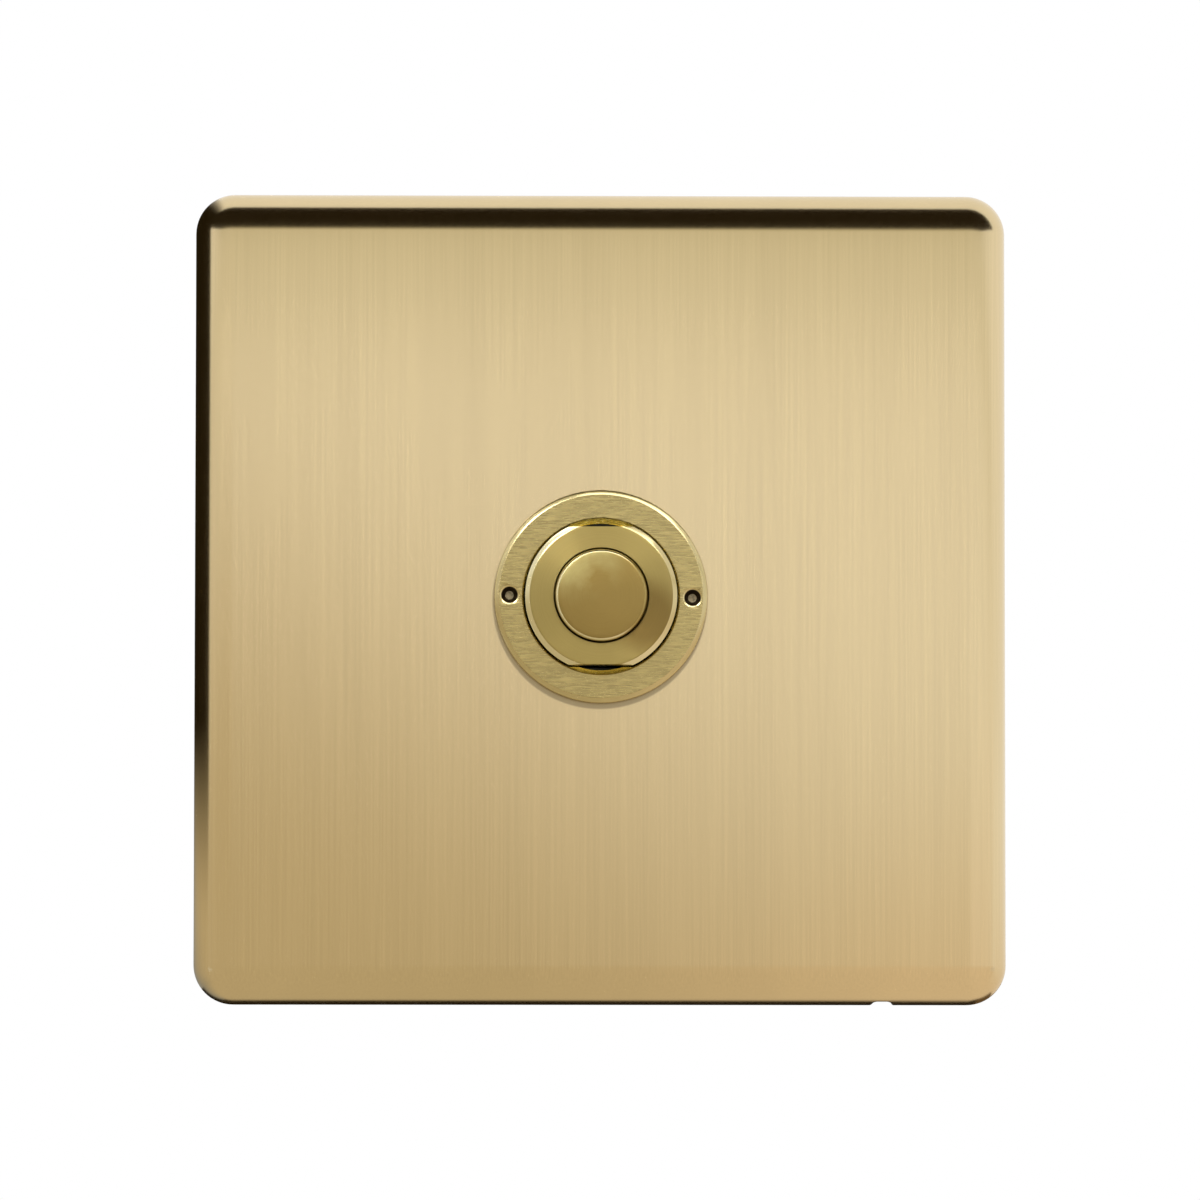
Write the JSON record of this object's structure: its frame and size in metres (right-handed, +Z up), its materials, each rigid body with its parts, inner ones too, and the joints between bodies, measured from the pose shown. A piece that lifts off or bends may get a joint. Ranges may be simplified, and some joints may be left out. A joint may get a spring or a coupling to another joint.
{
  "type": "push button light switch",
  "caption": "Square screwless brass wall plate with rolled edges and a central round push button in a threaded bush and ring nut, with a wired switch body on a steel yoke behind.",
  "frame": {"origin": "midway between the fixing holes, on the yoke's back face, which lies in the plane of the wall", "axes": "+Y into the wall, so the front of the switch faces -Y; +Z up; +X to the right seen from the front"},
  "size_m": [0.086, 0.0342, 0.086],
  "materials": {
    "plate_brass": "brushed, lacquered",
    "turned_brass": "turned, satin",
    "frame_plastic": "moulded, fine texture",
    "body_plastic": "moulded, satin",
    "rod_plastic": "moulded, satin",
    "zinc_steel": "zinc plated",
    "spring_steel": "drawn wire",
    "terminal_brass": "machined",
    "contact_copper": "rolled copper strip",
    "contact_silver": "silver alloy"
  },
  "bodies": {
    "switch_body": {"front_plate": "plate_brass", "ring_nut": "turned_brass", "bush": "turned_brass", "return_spring": "spring_steel", "guide_plate": "rod_plastic", "mounting_frame": "frame_plastic", "yoke": "zinc_steel", "earth_screw": "terminal_brass", "earth_washer": "zinc_steel", "switch_cover": "body_plastic", "switch_base": "body_plastic", "fixed_pads": "contact_silver", "fixed_contact_left": "contact_copper", "fixed_contact_right": "contact_copper", "terminal_left": "terminal_brass", "terminal_right": "terminal_brass", "terminal_screws": "zinc_steel"},
    "push_button": {"button": "turned_brass", "push_rod": "rod_plastic", "contact_bridge": "contact_copper", "moving_pads": "contact_silver"}
  },
  "joints": [
    {"name": "button_press", "type": "slide", "parent": "switch_body", "child": "push_button", "axis": [0, 1, 0], "range_m": [0, 0.0025], "stiffness_N_per_m": 600, "springref_m": -0.003, "deforming": ["return_spring"]}
  ]
}
